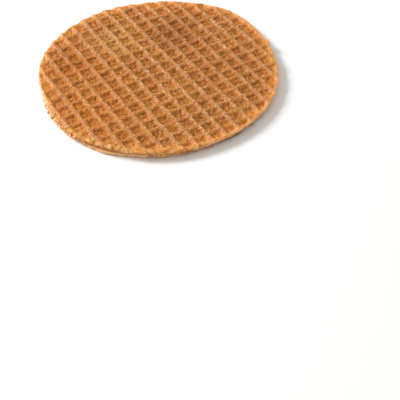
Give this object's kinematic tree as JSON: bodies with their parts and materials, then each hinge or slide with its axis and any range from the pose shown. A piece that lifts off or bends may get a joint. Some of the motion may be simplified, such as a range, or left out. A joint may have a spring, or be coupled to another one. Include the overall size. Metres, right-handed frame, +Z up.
{
  "type": "stroopwafel",
  "caption": "Thin round syrup waffle: crisp wafers with a pressed grid of ridges and pockets on the outside and caramel syrup between them, a sweet biscuit eaten from the hand.",
  "frame": {"origin": "middle of the underside of the bounding box, on the plane where the lower wafer's ridges touch the table", "axes": "+Z up through the thickness, -Y towards the side nearest the viewer in the picture, +X to the viewer's right"},
  "size_m": [0.0996, 0.1004, 0.004],
  "materials": {
    "baked_wafer": "baked waffle crust, golden brown and slightly buttery, with a pale dry crumb where it is cut",
    "caramel_syrup": "set caramel syrup, amber brown, smooth and glossy"
  },
  "bodies": {
    "root": {"wafer_top": "baked_wafer", "caramel": "caramel_syrup", "wafer_bottom": "baked_wafer"}
  },
  "joints": []
}
